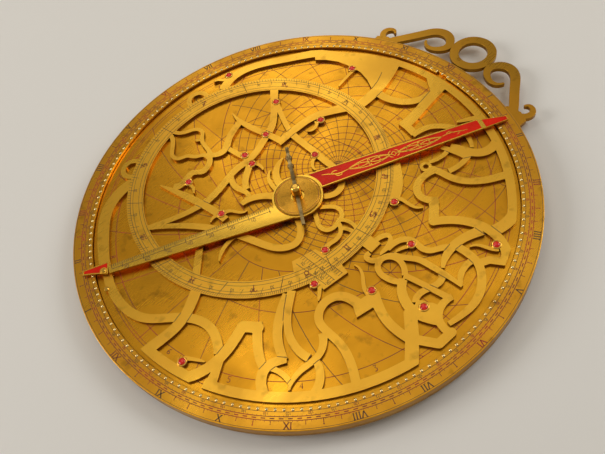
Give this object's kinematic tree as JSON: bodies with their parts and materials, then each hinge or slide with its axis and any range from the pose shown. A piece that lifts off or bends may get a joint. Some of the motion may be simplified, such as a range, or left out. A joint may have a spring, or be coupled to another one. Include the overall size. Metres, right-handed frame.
{
  "type": "planispheric astrolabe",
  "caption": "Round brass planispheric astrolabe lying face up, with pierced strapwork star map, engraved limb, enamelled rule, wedge, scrolled throne and a folding-vane alidade behind.",
  "frame": {"origin": "on the turning axis, at the underside of the centre pin's head on the back", "axes": "+Z along the turning axis, out of the face; +Y from the centre to the throne; +X to the right as the face is read"},
  "size_m": [0.3, 0.3374, 0.0264],
  "materials": {
    "plate_brass": "worn, satin",
    "throne_brass": "polished",
    "limb_brass": "engraved, softly polished",
    "tympan_brass": "engraved, satin",
    "pin_brass": "turned, satin",
    "rete_brass": "gilt, polished, engraved",
    "collet_brass": "polished",
    "red_stone": "polished red stone",
    "rule_brass": "gilt, polished",
    "red_enamel": "glossy red enamel",
    "cap_brass": "turned, polished",
    "alidade_brass": "satin",
    "vane_brass": "satin",
    "wedge_brass": "darkened, worn"
  },
  "bodies": {
    "mater": {"mater_back": "plate_brass", "throne": "throne_brass", "mater_limb": "limb_brass", "tympan_1": "tympan_brass", "tympan_2": "tympan_brass", "tympan_3": "tympan_brass", "centre_pin": "pin_brass", "back_washer": "pin_brass"},
    "rete": {"rete": "rete_brass", "star_collets": "collet_brass", "star_jewels": "red_stone", "rete_knob": "collet_brass"},
    "rule": {"rule": "rule_brass", "enamel_arm": "red_enamel", "enamel_tip": "red_enamel", "enamel_kite": "red_enamel", "kite_stud": "rule_brass", "hub_cap": "cap_brass"},
    "alidade": {"alidade": "alidade_brass", "vane_pin_left": "pin_brass", "vane_pin_right": "pin_brass"},
    "vane_left": {"vane_left": "vane_brass"},
    "vane_right": {"vane_right": "vane_brass"},
    "wedge": {"wedge": "wedge_brass"}
  },
  "joints": [
    {"name": "rete_turn", "type": "hinge", "parent": "mater", "child": "rete", "pos_m": [0, 0, 0.0126], "axis": [0, 0, 1], "continuous": true},
    {"name": "rule_turn", "type": "hinge", "parent": "mater", "child": "rule", "pos_m": [0, 0, 0.0156], "axis": [0, 0, 1], "continuous": true},
    {"name": "alidade_turn", "type": "hinge", "parent": "mater", "child": "alidade", "pos_m": [0, 0, 0.0038], "axis": [0, 0, 1], "continuous": true},
    {"name": "vane_left_fold", "type": "hinge", "parent": "alidade", "child": "vane_left", "pos_m": [-0.118, 0, 0.0012], "axis": [0, 1, 0], "range_deg": [0, 90]},
    {"name": "vane_right_fold", "type": "hinge", "parent": "alidade", "child": "vane_right", "pos_m": [0.118, 0, 0.0012], "axis": [0, -1, 0], "range_deg": [0, 90]},
    {"name": "wedge_slide", "type": "slide", "parent": "mater", "child": "wedge", "axis": [-0.8406, 0.5417, 0], "range_m": [0, 0.028]}
  ]
}
